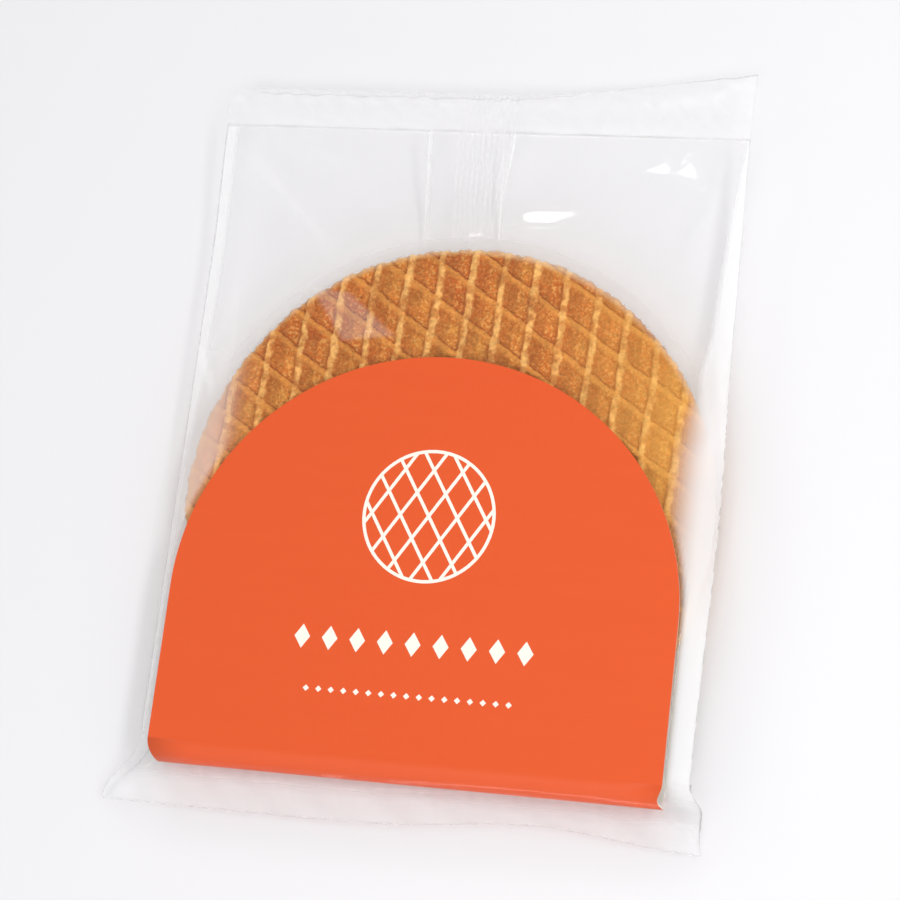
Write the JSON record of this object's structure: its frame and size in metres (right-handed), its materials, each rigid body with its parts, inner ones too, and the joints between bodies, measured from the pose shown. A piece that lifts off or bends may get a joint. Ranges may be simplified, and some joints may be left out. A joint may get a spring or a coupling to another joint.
{
  "type": "wrapped stroopwafel",
  "caption": "Round caramel-filled waffle biscuit in a clear film pack with flat end seals and an orange arched card folded round the lower end; rests flat on its back.",
  "frame": {"origin": "under the middle of the pack's bounding box, on the surface that its back lies on", "axes": "+X across the pack to the right seen from its front, +Y up the pack to the flat end seal, +Z out of its front"},
  "size_m": [0.1126, 0.1464, 0.0089],
  "materials": {
    "clear_film": "clear glossy polypropylene film",
    "wafer": "baked wafer, matt with a golden relief",
    "caramel": "dark caramel syrup, slightly glossy",
    "card": "coated orange carton, satin",
    "print": "cream print on the coated carton"
  },
  "bodies": {
    "root": {"sealed_bag": "clear_film"}
  },
  "joints": []
}
